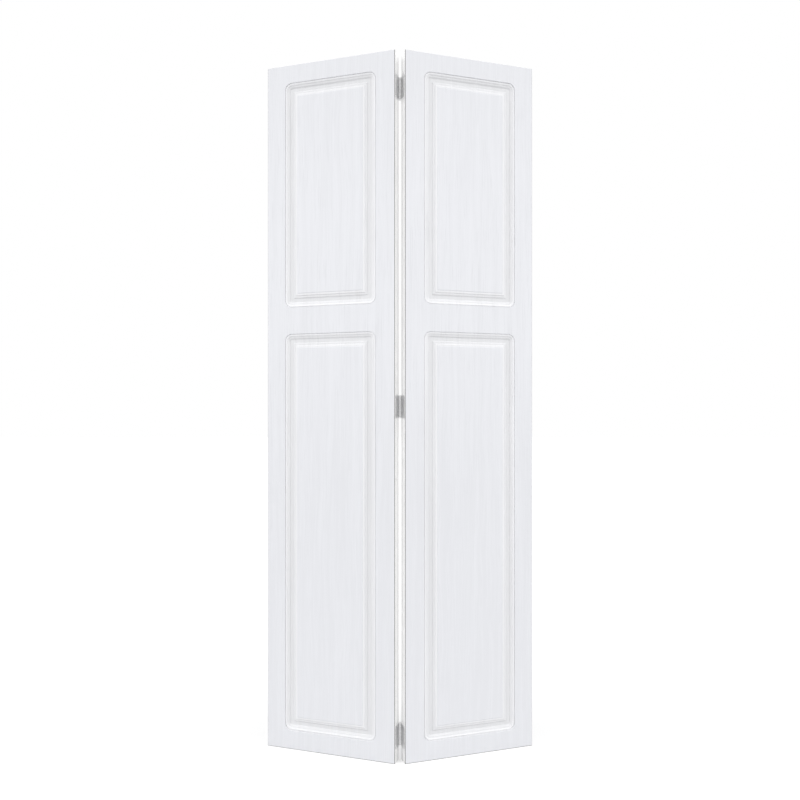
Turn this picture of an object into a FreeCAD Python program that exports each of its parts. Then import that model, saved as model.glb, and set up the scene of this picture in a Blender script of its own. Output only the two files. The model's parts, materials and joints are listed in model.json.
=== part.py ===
"""Folding closet door of two panelled leaves, joined by three butt hinges.

Millimetres, +Z up. The room side faces -Y. The origin lies midway across the
folded pair, at the level of its lower edges. Both leaves stand part folded:
their hinged edges are nearest the room and their outer edges turn back.
"""
import FreeCAD, Part
import math
import os
import re
import Sketcher
from FreeCAD import Placement, Rotation, Vector

PARTS_FOLDER = "parts"

# Name, value in millimetres or degrees, and what it is.
SIZES = (
    ("LeafHeight", 2007.0, "height of a leaf"),
    ("LeafWidth", 397.5, "width of a leaf"),
    ("LeafThickness", 35.0, "thickness of a leaf"),
    ("LeafTurn", 18.5, "turn of each leaf out of the closed plane"),
    ("MeetingGap", 5.0, "gap between the closed leaves"),
    ("PinSetback", 4.5, "hinge pin axis behind the back faces"),
    ("SkinWall", 3.2, "wall of a moulded skin"),
    ("ArrisRadius", 1.2, "rounding of a skin's long edges"),
    ("StileFace", 56.3, "plain face beside a panel"),
    ("TopRailFace", 52.0, "plain face above the upper panel"),
    ("UpperPanelHeight", 659.5, "upper panel with its moulding"),
    ("MidRailFace", 77.5, "plain face between the panels"),
    ("BottomRailFace", 54.5, "plain face below the lower panel"),
    ("QuirkRun", 0.8, "width of the step at the moulding's edge"),
    ("QuirkDrop", 1.2, "depth of the step at the moulding's edge"),
    ("FirstBeadRun", 6.6, "width of the first bead"),
    ("FirstBeadDrop", 1.2, "fall of the first bead"),
    ("FilletRun", 0.8, "width of the step between the beads"),
    ("FilletDrop", 1.2, "depth of the step between the beads"),
    ("SecondBeadRun", 7.8, "width of the second bead"),
    ("SecondBeadDrop", 3.1, "fall of the second bead"),
    ("ChannelWidth", 10.0, "flat bottom of the moulding"),
    ("BackSpread", 1.5, "how much wider a moulding is on the hidden side"),
    ("BackSlopeRun", 16.0, "width of a moulding's slope on the hidden side"),
    ("StileWidth", 45.0, "width of a stile"),
    ("TopRailHeight", 45.0, "height of the top rail"),
    ("MidRailHeight", 68.0, "height of the middle rail"),
    ("BottomRailHeight", 45.0, "height of the bottom rail"),
    ("CoreClearance", 2.0, "space round a core inside its field"),
    ("CoreStrip", 4.0, "thickness of a core strip"),
    ("CoreCellPitch", 130.0, "least spacing of the core's cross strips"),
    ("PivotRadius", 4.75, "radius of a pivot or guide bore"),
    ("PivotDepth", 38.0, "depth of a pivot or guide bore"),
    ("PivotInset", 22.0, "bore axis from the leaf's outer edge"),
    ("TopHingeDrop", 97.0, "top hinge centre below the top edge"),
    ("MidHingeLevel", 1004.0, "middle hinge centre above the bottom edge"),
    ("LowHingeLevel", 72.0, "bottom hinge centre above the bottom edge"),
    ("PlateHeight", 63.5, "height of a hinge plate"),
    ("PlateThickness", 2.0, "thickness of a hinge plate"),
    ("PlateReach", 35.0, "free edge of a plate from the pin axis"),
    ("NeckOverlap", 3.0, "how far a knuckle's neck runs on to its plate"),
    ("BarrelRadius", 3.5, "outer radius of a knuckle"),
    ("BarrelRelief", 0.4, "gap between a plate and the other's knuckles"),
    ("KnuckleGap", 0.2, "gap between two knuckles"),
    ("PinRadius", 1.75, "radius of a hinge pin"),
    ("PinFit", 0.05, "radial clearance of a pin in its knuckles"),
    ("PinEnd", 1.75, "stretch of a pin beyond its barrel"),
    ("ScrewHeadRadius", 3.3, "radius of a screw head"),
    ("ScrewRadius", 1.5, "radius of a screw's shank"),
    ("ScrewLength", 18.0, "length of a screw"),
    ("ScrewTip", 3.0, "length of a screw's point"),
    ("ScrewTipRadius", 0.2, "radius of the blunt end of a screw's point"),
    ("PilotFit", 0.05, "radial clearance of a screw in a stile"),
    ("PilotSpare", 1.0, "pilot hole beyond a screw's point"),
    ("ScrewSpacing", 22.0, "outer screws above and below the middle one"),
    ("NearScrewReach", 16.5, "outer screws from the pin axis"),
    ("FarScrewReach", 25.5, "middle screw from the pin axis"),
)
ALIASES = {name for name, _, _ in SIZES}

# Half of the moulding's width: the cutter's radius and that of the rounded corners.
MOULDING_HALF = "(QuirkRun + FirstBeadRun + FilletRun + SecondBeadRun + ChannelWidth / 2)"
MOULDING_DEPTH = "(QuirkDrop + FirstBeadDrop + FilletDrop + SecondBeadDrop)"
CORE_THICKNESS = "(LeafThickness - 2 * SkinWall)"
LOWER_PANEL_HEIGHT = (
    "(LeafHeight - TopRailFace - UpperPanelHeight - MidRailFace - BottomRailFace)"
)
# Panel name, lower edge of its moulding and its height.
PANELS = (
    ("upper", "(LeafHeight - TopRailFace - UpperPanelHeight)", "UpperPanelHeight"),
    ("lower", "BottomRailFace", LOWER_PANEL_HEIGHT),
)
# The pin axis stands where the folded pair is centred front to back.
PIN_AXIS_Y = (
    "(((PinSetback + LeafThickness) * cos(LeafTurn) - MeetingGap / 2 * sin(LeafTurn)"
    " + PinSetback * cos(LeafTurn) - (MeetingGap / 2 + LeafWidth) * sin(LeafTurn)) / 2)"
)
# Hinge name and the level of its centre.
HINGES = (
    ("top_hinge", "(LeafHeight - TopHingeDrop)"),
    ("middle_hinge", "MidHingeLevel"),
    ("bottom_hinge", "LowHingeLevel"),
)
KNUCKLES = 3
KNUCKLE_PITCH = f"(PlateHeight / {KNUCKLES})"
# Reach from the pin axis and level from the hinge's centre, for each screw of a plate.
SCREW_SPOTS = (
    ("NearScrewReach", "ScrewSpacing"),
    ("FarScrewReach", "0"),
    ("NearScrewReach", "-ScrewSpacing"),
)
# Leaf name and the side of the pin axis that it lies on.
LEAVES = (("left", -1), ("right", 1))
FULL_TURN = 360.0
# Flats on a screw and on its holes.
SCREW_FLATS = 8

doc = FreeCAD.newDocument("FoldingClosetDoor")
sheet = doc.addObject("Spreadsheet::Sheet", "Sizes")
sub_parts = []


def fill_sheet():
    """Writes each driving size to the sheet with its alias and meaning."""
    for row, (name, size, meaning) in enumerate(SIZES, start=1):
        sheet.set(f"A{row}", name)
        sheet.set(f"B{row}", str(size))
        sheet.set(f"C{row}", meaning)
        sheet.setAlias(f"B{row}", name)
    doc.recompute()


def from_sheet(text):
    """Turns size names in a formula into references to the sheet."""
    return re.sub(
        r"[A-Za-z_]+", lambda word: f"Sizes.{word[0]}" if word[0] in ALIASES else word[0], text
    )


def size(text):
    """The present value of a formula of size names."""
    return float(sheet.evalExpression(from_sheet(text)))


def new_body(label):
    """An empty body that becomes one sub-part."""
    body = doc.addObject("PartDesign::Body", label)
    body.Label = label
    sub_parts.append(body)
    return body


def new_sketch(body, name, plane, level="0"):
    """A sketch on one of the body's own planes, lifted along that plane's normal."""
    sketch = body.newObject("Sketcher::SketchObject", name)
    base = next(item for item in body.Origin.OriginFeatures if item.Role == plane)
    sketch.AttachmentSupport = (base, [""])
    sketch.MapMode = "FlatFace"
    if level != "0":
        sketch.setExpression("AttachmentOffset.Base.z", from_sheet(level))
    return sketch


def hold_point(sketch, edge, end, x, y):
    """Ties one point of a sketch to its place."""
    for kind, axis, text in (("DistanceX", -2, x), ("DistanceY", -1, y)):
        if text == "0":
            sketch.addConstraint(Sketcher.Constraint("PointOnObject", edge, end, axis))
            continue
        number = sketch.addConstraint(
            Sketcher.Constraint(kind, -1, 1, edge, end, size(text))
        )
        sketch.setExpression(f"Constraints[{number}]", from_sheet(text))


def hold_radius(sketch, edge, radius):
    """Ties the radius of a circle or arc."""
    number = sketch.addConstraint(Sketcher.Constraint("Radius", edge, size(radius)))
    sketch.setExpression(f"Constraints[{number}]", from_sheet(radius))


def draw_outline(sketch, corners):
    """Draws a closed outline.

    Each corner is (x, y), or (x, y, centre x, centre y, radius) where an arc of
    less than half a turn leaves it.
    """
    spots = [Vector(size(corner[0]), size(corner[1]), 0) for corner in corners]
    edges = []
    for index, corner in enumerate(corners):
        start, finish = spots[index], spots[(index + 1) % len(spots)]
        if len(corner) == 2:
            edges.append((sketch.addGeometry(Part.LineSegment(start, finish), False), 1, 2))
            continue
        centre = Vector(size(corner[2]), size(corner[3]), 0)
        leftward = (start - centre).cross(finish - centre).z > 0
        first, last = (start, finish) if leftward else (finish, start)
        arc = Part.ArcOfCircle(
            Part.Circle(centre, Vector(0, 0, 1), size(corner[4])),
            math.atan2(first.y - centre.y, first.x - centre.x),
            math.atan2(last.y - centre.y, last.x - centre.x),
        )
        ends = (1, 2) if leftward else (2, 1)
        edges.append((sketch.addGeometry(arc, False), *ends))
    for index, (edge, _, end) in enumerate(edges):
        following, start, _ = edges[(index + 1) % len(edges)]
        sketch.addConstraint(Sketcher.Constraint("Coincident", edge, end, following, start))
    for corner, (edge, start, _) in zip(corners, edges):
        hold_point(sketch, edge, start, corner[0], corner[1])
        if len(corner) > 2:
            hold_radius(sketch, edge, corner[4])


def draw_box(sketch, left, right, low, high):
    """Draws a rectangle."""
    draw_outline(sketch, ((left, low), (right, low), (right, high), (left, high)))


def draw_circle(sketch, x, y, radius):
    """Draws a circle."""
    circle = Part.Circle(Vector(size(x), size(y), 0), Vector(0, 0, 1), size(radius))
    edge = sketch.addGeometry(circle, False)
    hold_point(sketch, edge, 3, x, y)
    hold_radius(sketch, edge, radius)


def draw_flats(sketch, x, y, radius):
    """Draws the regular outline of a screw or of a hole for one."""
    step = FULL_TURN / SCREW_FLATS
    corners = [
        (f"{x} + {radius} * cos({turn})", f"{y} + {radius} * sin({turn})")
        for turn in (step * (index + 1 / 2) for index in range(SCREW_FLATS))
    ]
    draw_outline(sketch, corners)


def extrude(body, kind, name, sketch, length, reverse=False):
    """Pads or pockets a sketch by a bound length."""
    feature = body.newObject(f"PartDesign::{kind}", name)
    feature.Profile = sketch
    feature.Reversed = reverse
    feature.setExpression("Length", from_sheet(length))
    return feature


def place(item, side, x="0", y="0", z="0", turn=0):
    """Sets a sub-part in its leaf's frame, which turns about the pin axis."""
    leaf = (
        f"create(<<placement>>; create(<<vector>>; 0; {from_sheet(PIN_AXIS_Y)}; 0);"
        f" create(<<rotation>>; create(<<vector>>; 0; 0; 1); {side} * Sizes.LeafTurn))"
    )
    seat = (
        f"create(<<placement>>; create(<<vector>>; {from_sheet(x)}; {from_sheet(y)};"
        f" {from_sheet(z)}); create(<<rotation>>; create(<<vector>>; 0; 0; 1); {turn}))"
    )
    item.setExpression("Placement", f"{leaf} * {seat}")


def half_profile():
    """Corners of half the moulding as (run, depth), from its edge to the channel."""
    steps = (
        ("QuirkRun", "QuirkDrop"),
        ("FirstBeadRun", "FirstBeadDrop"),
        ("FilletRun", "FilletDrop"),
        ("SecondBeadRun", "SecondBeadDrop"),
    )
    run, depth = "0", "0"
    corners = [(run, depth)]
    for wide, deep in steps:
        run, depth = f"{run} + {wide}", f"{depth} + {deep}"
        corners.append((run, depth))
    return corners


def moulding_outline(edge, inward):
    """The cut of half the moulding, outside the cutter's centre line or inside it.

    Edge is the place of the panel's left edge. Both halves meet on the channel.
    """
    split = f"{edge} + {MOULDING_HALF} - ChannelWidth / 4"
    far = f"{edge} + 2 * {MOULDING_HALF}"
    if inward:
        slope = [(f"{far} - ({run})", depth) for run, depth in half_profile()]
        mouth = far
    else:
        slope = [(f"{edge} + {run}", depth) for run, depth in half_profile()]
        mouth = edge
    return [(mouth, "-SkinWall")] + slope + [(split, MOULDING_DEPTH), (split, "-SkinWall")]


def backing_outline(edge):
    """The wall behind the whole moulding, an even thickness behind its slopes."""
    near, far = f"{edge} - BackSpread", f"{edge} + 2 * {MOULDING_HALF} + BackSpread"
    back = f"{MOULDING_DEPTH} + SkinWall"
    return (
        (near, "SkinWall / 2"),
        (near, "SkinWall"),
        (f"{near} + BackSlopeRun", back),
        (f"{far} - BackSlopeRun", back),
        (far, "SkinWall"),
        (far, "SkinWall / 2"),
    )


def draw_path(sketch, inset, low, high, rounded):
    """The cutter's way round a panel, starting halfway up its left side."""
    half = f"(LeafWidth / 2 - StileFace - {inset})"
    left, right = f"-{half}", half
    middle = f"({low} + {high}) / 2"
    low, high = f"{low} + {inset}", f"{high} - {inset}"
    if not rounded:
        spots = ((left, middle), (left, high), (right, high), (right, low), (left, low))
        draw_outline(sketch, spots)
        return
    radius = MOULDING_HALF
    near, far = f"{left} + {radius}", f"{right} - {radius}"
    under, over = f"{high} - {radius}", f"{low} + {radius}"
    draw_outline(
        sketch,
        (
            (left, middle),
            (left, under, near, under, radius),
            (near, high),
            (far, high, far, under, radius),
            (right, under),
            (right, over, far, over, radius),
            (far, low),
            (near, low, near, over, radius),
            (left, over),
        ),
    )


def sweep(body, kind, name, profile, path, corner):
    """Sweeps a profile round a path."""
    feature = body.newObject(f"PartDesign::{kind}", name)
    feature.Profile = profile
    feature.Spine = (path, [])
    feature.Transition = corner


def build_skin(label, side, y, turn):
    """A moulded skin: a flat sheet with a sunk moulding round each of two panels.

    Its outer corners are rounded by the cutter's radius. Its inner ones are mitred.
    """
    body = new_body(label)
    half = "LeafWidth / 2"
    sheet_sketch = new_sketch(body, "sheet_section", "XY_Plane")
    draw_outline(
        sheet_sketch,
        (
            (f"-{half} + ArrisRadius", "0"),
            (f"{half} - ArrisRadius", "0", f"{half} - ArrisRadius", "ArrisRadius", "ArrisRadius"),
            (half, "ArrisRadius"),
            (half, "SkinWall"),
            (f"-{half}", "SkinWall"),
            (f"-{half}", "ArrisRadius", f"-{half} + ArrisRadius", "ArrisRadius", "ArrisRadius"),
        ),
    )
    extrude(body, "Pad", "sheet", sheet_sketch, "LeafHeight")
    edge = "(StileFace - LeafWidth / 2)"
    paths = {}
    for name, low, height in PANELS:
        high = f"({low} + {height})"
        for bend, inset in (("rounded", "0"), ("mitred", MOULDING_HALF)):
            path = new_sketch(body, f"{name}_{bend}_path", "XZ_Plane")
            draw_path(path, inset, low, high, bend == "rounded")
            paths[name, bend] = path
    cuts = (
        ("AdditivePipe", "backing", "mitred", backing_outline(edge)),
        ("SubtractivePipe", "outer_moulding", "rounded", moulding_outline(edge, False)),
        ("SubtractivePipe", "inner_moulding", "mitred", moulding_outline(edge, True)),
    )
    for kind, word, bend, outline in cuts:
        for name, low, height in PANELS:
            level = f"{low} + {height} / 2"
            section = new_sketch(body, f"{name}_{word}_section", "XY_Plane", level)
            draw_outline(section, outline)
            corner = "Round corner" if bend == "rounded" else "Right corner"
            sweep(body, kind, f"{name}_{word}", section, paths[name, bend], corner)
    place(body, side, f"{side} * (MeetingGap / 2 + LeafWidth / 2)", y, "0", turn)


def build_stick(label, side, near, far, low, high):
    """A timber between the skins, from near to far off the pin axis."""
    body = new_body(label)
    sketch = new_sketch(body, "section", "XY_Plane", low)
    draw_box(
        sketch,
        f"{side} * ({near})",
        f"{side} * ({far})",
        "-(PinSetback + LeafThickness - SkinWall)",
        "-(PinSetback + SkinWall)",
    )
    extrude(body, "Pad", "timber", sketch, f"{high} - ({low})")
    place(body, side)
    return body


def build_stiles(name, side):
    """The two upright timbers of a leaf, bored for hinge screws and pivots."""
    near, far = "MeetingGap / 2", "MeetingGap / 2 + LeafWidth"
    hinge_stile = build_stick(
        f"{name}_hinge_stile", side, near, f"{near} + StileWidth", "0", "LeafHeight"
    )
    pilots = new_sketch(hinge_stile, "pilot_spots", "YZ_Plane", f"{side} * {near}")
    for _, level in HINGES:
        for reach, rise in SCREW_SPOTS:
            draw_flats(pilots, f"-{reach}", f"{level} + {rise}", "(ScrewRadius + PilotFit)")
    deep = "ScrewLength - PlateThickness + PilotSpare"
    extrude(hinge_stile, "Pocket", "pilot_holes", pilots, deep, side > 0)
    outer_stile = build_stick(
        f"{name}_outer_stile", side, f"{far} - StileWidth", far, "0", "LeafHeight"
    )
    ends = [("top", "LeafHeight", False)]
    if name == "left":
        ends.append(("bottom", "0", True))
    for end, level, upward in ends:
        spot = new_sketch(outer_stile, f"{end}_bore_spot", "XY_Plane", level)
        middle = "-(PinSetback + LeafThickness / 2)"
        draw_circle(spot, f"{side} * ({far} - PivotInset)", middle, "PivotRadius")
        extrude(outer_stile, "Pocket", f"{end}_bore", spot, "PivotDepth", upward)


def build_rails(name, side):
    """The three cross timbers of a leaf, between its stiles."""
    near = "MeetingGap / 2 + StileWidth"
    far = "MeetingGap / 2 + LeafWidth - StileWidth"
    middle = f"(BottomRailFace + {LOWER_PANEL_HEIGHT} + MidRailFace / 2)"
    rails = (
        ("top_rail", "LeafHeight - TopRailHeight", "LeafHeight"),
        ("mid_rail", f"{middle} - MidRailHeight / 2", f"{middle} + MidRailHeight / 2"),
        ("bottom_rail", "0", "BottomRailHeight"),
    )
    for rail, low, high in rails:
        build_stick(f"{name}_{rail}", side, near, far, low, high)


def build_core(name, side, panel, low, height):
    """A core of crossed card strips that keeps the two fields of a panel apart."""
    body = new_body(f"{name}_{panel}_core")
    inset = f"(2 * {MOULDING_HALF} + BackSpread + CoreClearance)"
    centre = f"{side} * (MeetingGap / 2 + LeafWidth / 2)"
    half = f"(LeafWidth / 2 - StileFace - {inset})"
    bottom = f"({low} + {inset})"
    tall = f"({height} - 2 * {inset})"
    block = new_sketch(body, "block_face", "XZ_Plane", "PinSetback + SkinWall")
    draw_box(block, f"{centre} - {half}", f"{centre} + {half}", bottom, f"{bottom} + {tall}")
    extrude(body, "Pad", "block", block, CORE_THICKNESS)
    rows = max(1, math.floor((size(tall) - size("CoreStrip")) / size("CoreCellPitch")))
    pitch = f"(({tall} - CoreStrip) / {rows})"
    cells = new_sketch(body, "cell_row", "XZ_Plane", "PinSetback + SkinWall")
    sill, head = f"{bottom} + CoreStrip", f"{bottom} + {pitch}"
    draw_box(cells, f"{centre} - {half} + CoreStrip", f"{centre} - CoreStrip / 2", sill, head)
    draw_box(cells, f"{centre} + CoreStrip / 2", f"{centre} + {half} - CoreStrip", sill, head)
    row = extrude(body, "Pocket", "first_cells", cells, CORE_THICKNESS, True)
    doc.recompute()
    pattern = body.newObject("PartDesign::LinearPattern", "cell_rows")
    pattern.Originals = [row]
    pattern.Direction = (cells, ["V_Axis"])
    pattern.Occurrences = rows
    pattern.setExpression("Length", from_sheet(f"{pitch} * {rows - 1}"))
    body.Tip = pattern
    place(body, side)


def screw_ring(side, along, radius):
    """Corners of a screw's section, at a distance along its axis from its head's face."""
    step = math.radians(FULL_TURN / SCREW_FLATS)
    turns = [step * (index + 1 / 2) for index in range(SCREW_FLATS)]
    return [Vector(side * along, radius * math.cos(turn), radius * math.sin(turn)) for turn in turns]


def flat_sided_solid(rings):
    """A solid with flat sides through rings of corners, one behind the other."""
    faces = [Part.Face(Part.makePolygon(ring + ring[:1])) for ring in (rings[0], rings[-1])]
    for near, far in zip(rings, rings[1:]):
        for index, corner in enumerate(near):
            after = (index + 1) % len(near)
            side = Part.makePolygon([corner, near[after], far[after], far[index], corner])
            faces.append(Part.Face(side))
    return Part.Solid(Part.Shell(faces))


def screw_rings(side):
    """The head, both ends of the shank and the point of a countersunk screw."""
    shank, length = size("ScrewRadius"), size("ScrewLength")
    return [
        screw_ring(side, 0, size("ScrewHeadRadius")),
        screw_ring(side, size("PlateThickness"), shank),
        screw_ring(side, length - size("ScrewTip"), shank),
        screw_ring(side, length, size("ScrewTipRadius")),
    ]


def at_screw_spots(side, solid, level="0"):
    """Copies of a solid at the three screws of a plate whose centre is at a level."""
    face = side * size("MeetingGap / 2 - PlateThickness")
    return [
        solid.translated(Vector(face, -size(reach), size(f"{level} + {rise}")))
        for reach, rise in SCREW_SPOTS
    ]


def build_screws(name, side):
    """All the screws that hold one leaf's hinge plates, as separate solids."""
    group = doc.addObject("Part::Feature", f"{name}_hinge_screws")
    group.Label = f"{name}_hinge_screws"
    screw = flat_sided_solid(screw_rings(side))
    solids = []
    for _, level in HINGES:
        solids += at_screw_spots(side, screw, level)
    group.Shape = Part.makeCompound(solids)
    place(group, side)
    sub_parts.append(group)


def build_plate(label, side, level, first_knuckle):
    """A hinge plate with every other knuckle of the barrel rolled on its edge."""
    body = doc.addObject("PartDesign::Body", f"{label}_blank")
    seat = "MeetingGap / 2"
    face = f"({seat} - PlateThickness)"
    low_face = face if side > 0 else f"-{seat}"
    blade_sketch = new_sketch(body, "blade_outline", "YZ_Plane", low_face)
    tall = "PlateHeight / 2"
    root = "-(BarrelRadius + BarrelRelief)"
    draw_box(blade_sketch, "-PlateReach", root, f"-{tall}", tall)
    extrude(body, "Pad", "blade", blade_sketch, "PlateThickness")
    low = f"-{tall} + {first_knuckle} * {KNUCKLE_PITCH} + KnuckleGap / 2"
    long = f"{KNUCKLE_PITCH} - KnuckleGap"
    roll_sketch = new_sketch(body, "roll_section", "XY_Plane", low)
    draw_circle(roll_sketch, "0", "0", "BarrelRadius")
    neck_sketch = new_sketch(body, "neck_section", "XY_Plane", low)
    bore = "(PinRadius + PinFit)"
    neck_start = f"{root} - NeckOverlap"
    draw_box(neck_sketch, f"{side} * {face}", f"{side} * {seat}", neck_start, f"-{bore}")
    roll = extrude(body, "Pad", "roll", roll_sketch, long)
    neck = extrude(body, "Pad", "neck", neck_sketch, long)
    doc.recompute()
    copies = len(range(first_knuckle, KNUCKLES, 2))
    pattern = body.newObject("PartDesign::LinearPattern", "knuckles")
    pattern.Originals = [roll, neck]
    pattern.Direction = (roll_sketch, ["N_Axis"])
    pattern.Occurrences = copies
    pattern.setExpression("Length", from_sheet(f"2 * {KNUCKLE_PITCH} * {copies - 1}"))
    body.Tip = pattern
    bore_sketch = new_sketch(body, "bore_section", "XY_Plane", f"-{tall}")
    draw_circle(bore_sketch, "0", "0", bore)
    extrude(body, "Pocket", "bore", bore_sketch, "PlateHeight", True)
    heads = doc.addObject("Part::Feature", f"{label}_countersinks")
    head = flat_sided_solid(screw_rings(side)[:2])
    heads.Shape = Part.makeCompound(at_screw_spots(side, head))
    plate = doc.addObject("Part::Cut", label)
    plate.Label = label
    plate.Base = body
    plate.Tool = heads
    place(plate, side, "0", "0", level)
    sub_parts.append(plate)


def build_pin(label, level):
    """A hinge pin that stands a little out of both ends of its barrel."""
    body = new_body(label)
    end = "(PlateHeight / 2 - KnuckleGap / 2 + PinEnd)"
    section = new_sketch(body, "section", "XY_Plane", f"-{end}")
    draw_circle(section, "0", "0", "PinRadius")
    extrude(body, "Pad", "wire", section, f"2 * {end}")
    place(body, LEAVES[0][1], "0", "0", level)


def build_door():
    """Builds both leaves and their hinges."""
    for name, side in LEAVES:
        front = "-(PinSetback + LeafThickness)"
        build_skin(f"{name}_front_skin", side, front, 0)
        build_skin(f"{name}_back_skin", side, "-PinSetback", 180)
        build_stiles(name, side)
        build_rails(name, side)
        for panel, low, height in PANELS:
            build_core(name, side, panel, low, height)
        build_screws(name, side)
    for hinge, level in HINGES:
        for index, (name, side) in enumerate(LEAVES):
            build_plate(f"{hinge}_{name}_plate", side, level, index)
        build_pin(f"{hinge}_pin", level)


def check_and_export():
    """Stops on any failed object, then writes each sub-part to its own file."""
    doc.recompute()
    for item in doc.Objects:
        if {"Invalid", "Error"} & set(item.State):
            raise RuntimeError(f"{item.Label} failed: {item.State}")
    for item in sub_parts:
        shape = item.Shape
        if shape.isNull() or not shape.isValid() or not shape.Solids:
            raise RuntimeError(f"{item.Label} has no sound solid")
    os.makedirs(PARTS_FOLDER, exist_ok=True)
    for item in sub_parts:
        item.Shape.exportStep(f"{PARTS_FOLDER}/{item.Label}.step")
        print(f"{item.Label}: {len(item.Shape.Solids)} solid, {item.Shape.Volume:.0f} mm3")


fill_sheet()
build_door()
check_and_export()
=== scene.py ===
"""Folding closet door, dressed: two panelled leaves joined by three butt hinges.

Metres, +Z up, the room side faces -Y. Each leaf has a frame of its own, whose origin
is the hinge pin's axis: x runs out along the leaf, y towards its back and z up.
"""
import json
import logging
import math
from dataclasses import dataclass
from enum import Enum

import bmesh
import bpy
from mathutils import Matrix, Vector


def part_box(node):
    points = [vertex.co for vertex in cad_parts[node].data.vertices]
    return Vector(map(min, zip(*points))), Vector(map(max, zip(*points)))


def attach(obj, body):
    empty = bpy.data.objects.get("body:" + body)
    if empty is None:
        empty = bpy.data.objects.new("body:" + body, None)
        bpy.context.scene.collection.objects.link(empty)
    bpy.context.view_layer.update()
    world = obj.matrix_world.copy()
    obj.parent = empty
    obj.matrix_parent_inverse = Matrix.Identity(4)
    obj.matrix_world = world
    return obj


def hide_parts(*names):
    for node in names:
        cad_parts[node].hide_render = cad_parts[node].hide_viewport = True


LOG = logging.getLogger("folding_door")

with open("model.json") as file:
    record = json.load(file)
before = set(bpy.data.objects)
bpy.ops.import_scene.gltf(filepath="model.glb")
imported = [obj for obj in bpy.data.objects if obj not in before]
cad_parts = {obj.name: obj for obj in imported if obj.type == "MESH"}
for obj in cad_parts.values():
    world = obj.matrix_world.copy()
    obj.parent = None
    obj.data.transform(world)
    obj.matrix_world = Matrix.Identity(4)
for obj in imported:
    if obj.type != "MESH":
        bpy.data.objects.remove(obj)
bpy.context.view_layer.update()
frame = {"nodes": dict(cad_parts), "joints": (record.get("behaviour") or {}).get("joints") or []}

OWN_SPOT = "own_spot"
QUARTER_TURN = math.pi / 2
# Two faces that meet at a sharper turn than this show an edge between them.
EDGE_TURN = math.radians(28)
# Length of one ripple of a wave texture at scale 1.
WAVE_STEP = math.tau / 20
# Number of a mesh's second material.
SECOND = 1
WHITE = (1.0, 1.0, 1.0, 1.0)
HINGES = ("top_hinge", "middle_hinge", "bottom_hinge")
# From the pin's axis, along x, to the long edge of a leaf that the plates lie on.
HINGE_SEAT = 0.0025

Mesh = bpy.types.Mesh
Material = bpy.types.Material
Socket = bpy.types.NodeSocket
Ring = list[list[int]]
Point = tuple[float, float]
Triple = tuple[float, float, float]


class Side(Enum):
    """The leaf on one side of the hinge pins."""

    LEFT = -1
    RIGHT = 1

    @property
    def word(self) -> str:
        """The side's name in the names of pieces."""
        return self.name.lower()

    @property
    def body(self) -> str:
        """The moving body that this leaf's pieces belong to."""
        return f"{self.word}_leaf"


class Face(Enum):
    """A broad face of a leaf, as its turn away from the front."""

    FRONT = 0.0
    BACK = math.pi

    @property
    def word(self) -> str:
        """The face's name in the names of pieces."""
        return self.name.lower()


class Run(Enum):
    """The way that a timber's grain runs, as the turn that lays its length along z."""

    UPRIGHT = 0.0
    CROSS = QUARTER_TURN


class Coat(Enum):
    """The number of each material of a skin."""

    FOIL = 0
    # Foil of the moulding, with its painted highlight and painted shade.
    SUNK_FOIL = 1
    # Sawn edges and inside, and the painted shade on the rounded arrises.
    BARE_BOARD = 2
    # Lighter inner edge paint: painted light on the groove's wall.
    PAINT = 3


@dataclass(frozen=True)
class Fold:
    """Where the pins stand and how far each leaf is turned out of the closed plane."""

    pin: Vector
    turn: float

    @classmethod
    def from_frame(cls) -> "Fold":
        """Reads the fold from its joint, whose lower limit is the closed pair.

        Returns:
            The fold.
        """
        joint = next(joint for joint in frame["joints"] if joint["name"] == "fold")
        closed = math.radians(joint["range_deg"][0])
        x, y, _ = joint["pos_m"]
        return cls(Vector((x, y, 0)), -closed / 2)

    def leaf(self, side: Side) -> Matrix:
        """The frame of one leaf."""
        return Matrix.Translation(self.pin) @ Matrix.Rotation(side.value * self.turn, 4, "Z")

    def box(self, side: Side, node: str) -> tuple[Vector, Vector]:
        """Lowest and highest corner of a node in its leaf's own frame.

        Args:
            side: The leaf whose frame is used.
            node: The node's name.

        Returns:
            The two corners.
        """
        to_leaf = self.leaf(side).inverted()
        spots = [to_leaf @ vertex.co for vertex in frame["nodes"][node].data.vertices]
        low = Vector(min(spot[axis] for spot in spots) for axis in range(3))
        high = Vector(max(spot[axis] for spot in spots) for axis in range(3))
        return low, high


FOLD = Fold.from_frame()


def full_circle(segments: int) -> list[float]:
    """The angles at which the segments of a full circle start."""
    return [math.tau * step / segments for step in range(segments)]


def quarter_circle(first: float, segments: int) -> list[float]:
    """The angles of a quarter circle's points, after a number of quarter turns."""
    return [QUARTER_TURN * (first + step / segments) for step in range(segments + 1)]


def around(turn: float, radius: float, level: float) -> Vector:
    """A point about the z axis."""
    return Vector((radius * math.cos(turn), radius * math.sin(turn), level))


def corners(low: Point, high: Point) -> list[Point]:
    """The corners of a rectangle, one after the other."""
    return [low, (high[0], low[1]), high, (low[0], high[1])]


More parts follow.
